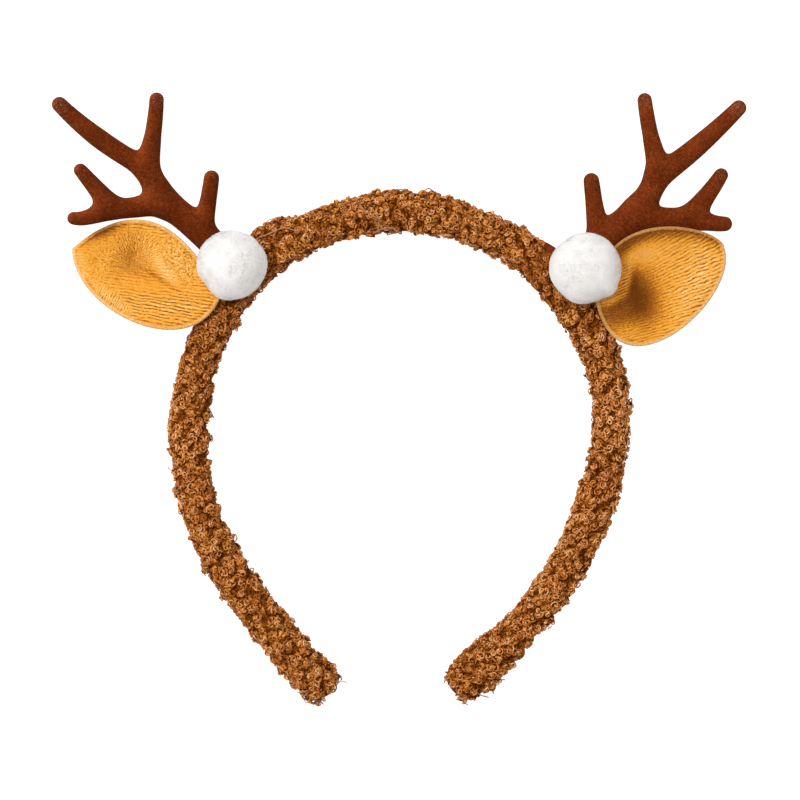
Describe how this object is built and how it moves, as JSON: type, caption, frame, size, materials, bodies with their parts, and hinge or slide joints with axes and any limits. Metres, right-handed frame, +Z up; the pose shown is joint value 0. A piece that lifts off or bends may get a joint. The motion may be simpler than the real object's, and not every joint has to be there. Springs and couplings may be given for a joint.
{
  "type": "christmas headband",
  "caption": "Open hoop headband in curly bouclé with flocked reindeer antlers, velvet leaf ears and white pompoms at its shoulders, worn on the head as a festive costume piece.",
  "frame": {"origin": "on the surface that the headband lies on, below the middle of its bounding box", "axes": "+X to the right as seen from the front, +Y to the crown, +Z up from the surface to the front"},
  "size_m": [0.2228, 0.1961, 0.0309],
  "materials": {
    "boucle": "caramel brown curly bouclé with small yarn loops",
    "flock": "dark red-brown flocking over moulded plastic",
    "velvet": "golden tan velvet with fine wales",
    "pompom_fibre": "white short dense fibre"
  },
  "bodies": {
    "root": {"band": "boucle", "antler_left": "flock", "antler_right": "flock", "ear_left": "velvet", "ear_right": "velvet", "pompom_left": "pompom_fibre", "pompom_right": "pompom_fibre"}
  },
  "joints": []
}
